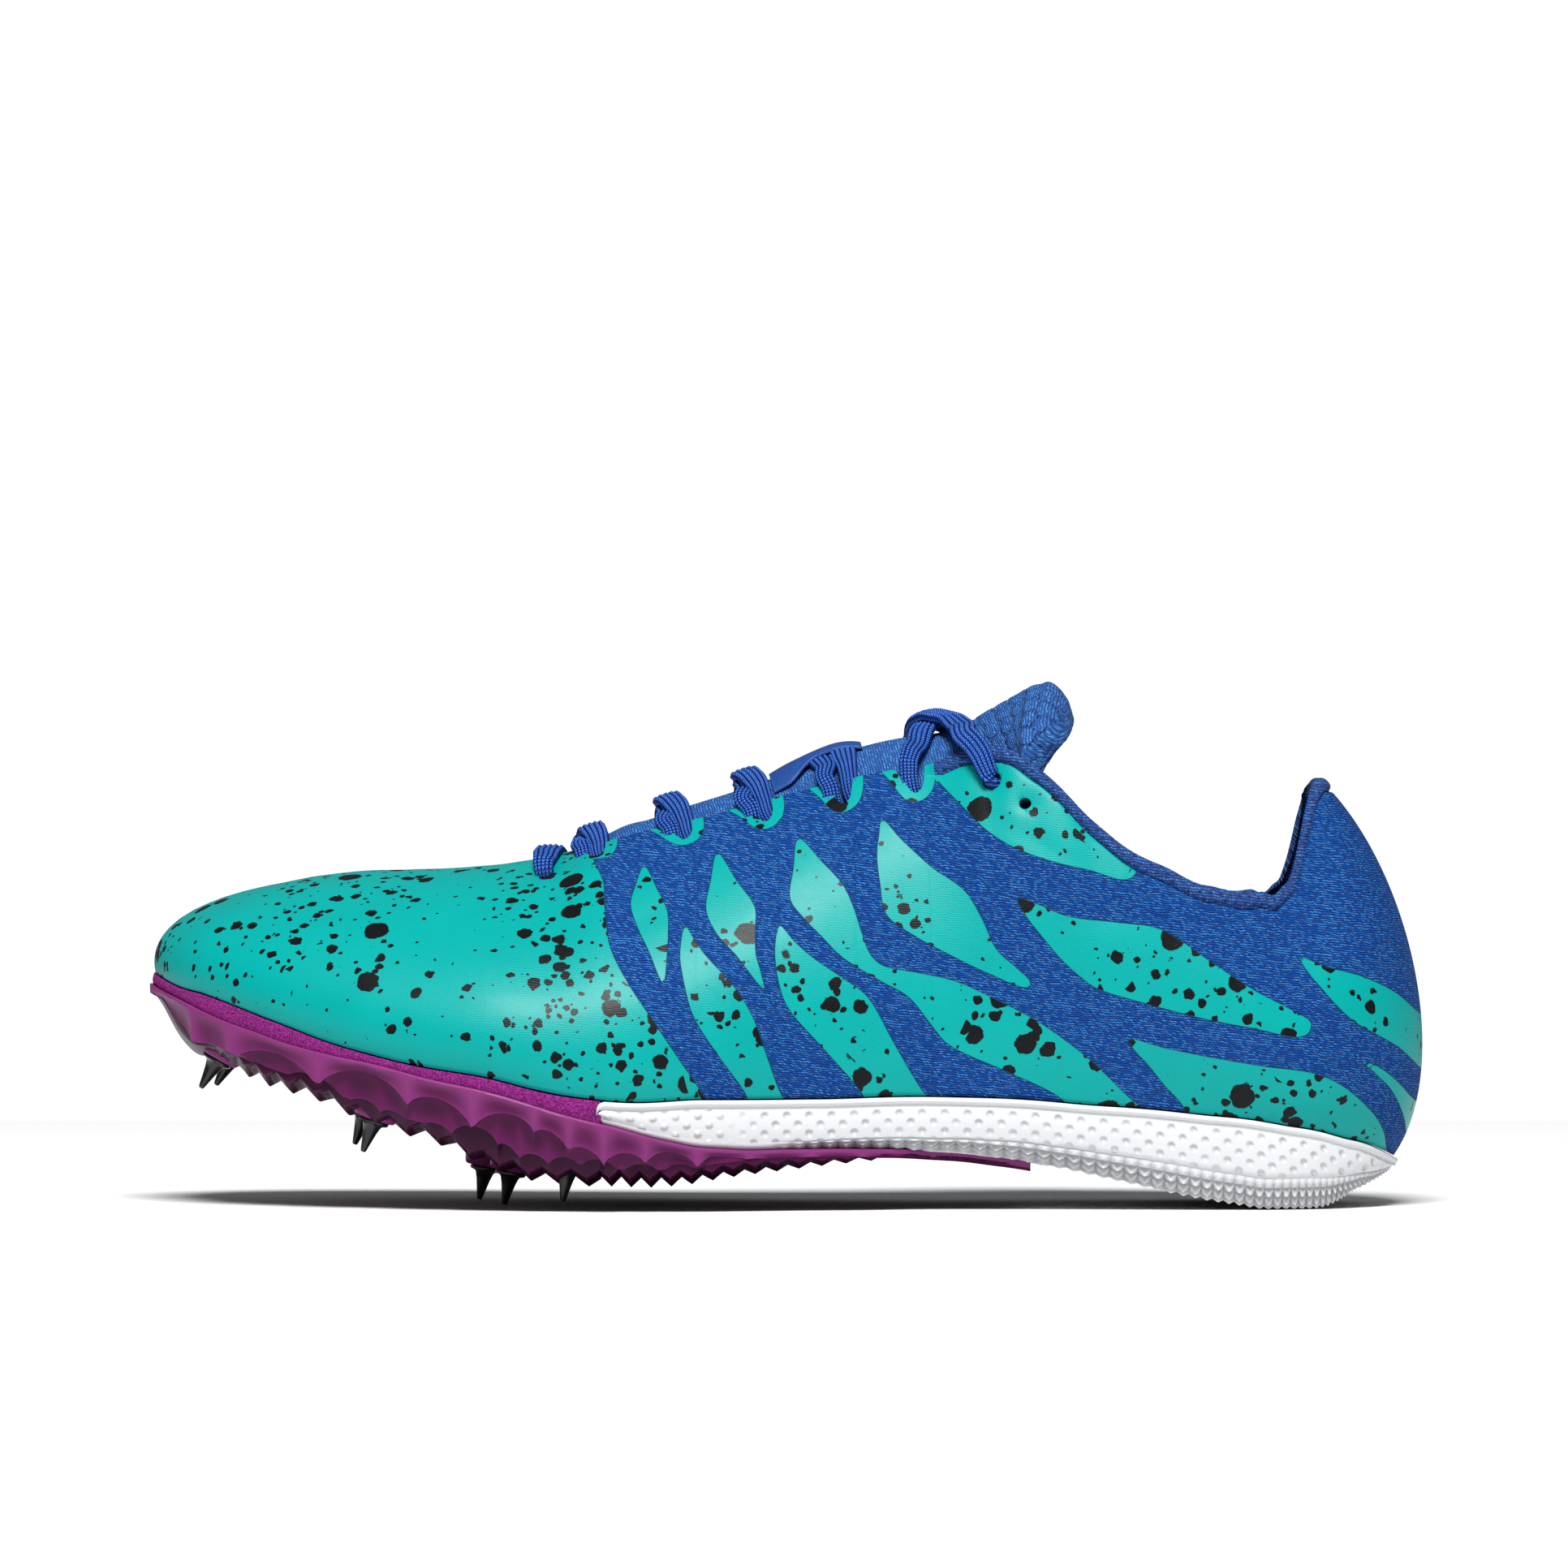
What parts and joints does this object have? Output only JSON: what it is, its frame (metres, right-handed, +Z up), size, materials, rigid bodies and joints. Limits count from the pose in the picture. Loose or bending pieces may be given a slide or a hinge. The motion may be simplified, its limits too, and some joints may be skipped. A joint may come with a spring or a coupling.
{
  "type": "track spike shoe",
  "caption": "Low-cut left track spike shoe with a hollow film-on-knit upper, flat laces, a stiff spiked forefoot plate and a foam heel wedge",
  "frame": {"origin": "centre of the bounding box in plan, on the floor that the shoe stands on", "axes": "+Z up, toe at -X, heel at +X, inner side of the foot at +Y, outer side at -Y"},
  "size_m": [0.279, 0.0957, 0.114],
  "materials": {
    "film_on_knit": "teal film with dark specks fused to a blue ribbed knit",
    "tongue_knit": "blue padded knit",
    "strap": "smooth blue webbing",
    "lace": "flat blue braid",
    "insole_cloth": "dark blue cloth",
    "felt": "magenta felt",
    "plate": "glossy translucent purple",
    "foam": "white moulded foam",
    "spike": "black satin"
  },
  "bodies": {
    "root": {"upper": "film_on_knit", "tongue": "tongue_knit", "lace_keeper": "strap", "lace_bar": "lace", "lace_crossing_1": "lace", "lace_crossing_2": "lace", "lace_crossing_3": "lace", "lace_crossing_4": "lace", "lace_crossing_5": "lace", "insole": "insole_cloth", "forefoot_band": "felt", "spike_plate": "plate", "heel_wedge": "foam", "spike_1": "spike", "spike_2": "spike", "spike_3": "spike", "spike_4": "spike", "spike_5": "spike", "spike_6": "spike", "spike_7": "spike"}
  },
  "joints": []
}
